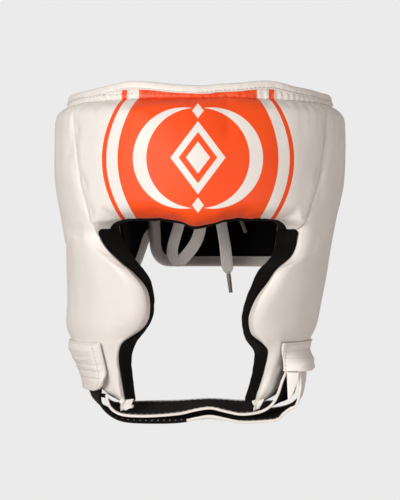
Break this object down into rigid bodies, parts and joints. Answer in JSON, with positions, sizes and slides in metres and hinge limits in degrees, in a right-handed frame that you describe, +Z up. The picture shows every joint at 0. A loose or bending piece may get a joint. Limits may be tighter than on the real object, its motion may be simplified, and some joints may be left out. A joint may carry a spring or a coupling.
{
  "type": "boxing headgear",
  "caption": "Padded leather boxing headgear with forehead pad, joined temple and cheek pads, lapped rear flaps, laced crown, rim and a folded-back chin strap.",
  "frame": {"origin": "where the top of the head touches the underside of the crown flaps, in the middle of the lacing gap", "axes": "+Z up, -Y out of the face opening, +X to the side with the strap's keeper"},
  "size_m": [0.2299, 0.2478, 0.2601],
  "materials": {
    "white_leather": "smooth white leather, lightly wrinkled",
    "black_lining": "black brushed textile",
    "strap_fabric": "white leather outside, black hook and loop inside",
    "lace": "flat woven lace",
    "aglet": "crimped end",
    "eyelet": "satin"
  },
  "bodies": {
    "root": {"forehead_pad": "white_leather", "side_pad_left": "white_leather", "side_pad_right": "white_leather", "lining_forehead": "black_lining", "lining_left": "black_lining", "lining_right": "black_lining", "rear_flap_left": "white_leather", "rear_flap_right": "white_leather", "rear_lining_left": "black_lining", "rear_lining_right": "black_lining", "rear_binding_left": "white_leather", "rear_binding_right": "white_leather", "gathered_strip": "white_leather", "rim_band": "white_leather", "crown_flap_left": "white_leather", "crown_flap_right": "white_leather", "crown_lace_a": "lace", "crown_lace_b": "lace", "crown_eyelet_1": "eyelet", "crown_eyelet_2": "eyelet", "crown_eyelet_3": "eyelet", "crown_eyelet_4": "eyelet", "crown_eyelet_5": "eyelet", "crown_eyelet_6": "eyelet", "lace_knot": "lace", "lace_loop": "lace", "lace_end_long": "lace", "lace_end_short": "lace", "aglet_long": "aglet", "aglet_short": "aglet", "chin_strap": "strap_fabric", "chin_tab_left": "white_leather", "keeper_loop_right": "white_leather", "keeper_tongue": "white_leather", "cheek_tag_left": "white_leather", "cheek_tag_right": "white_leather"}
  },
  "joints": []
}
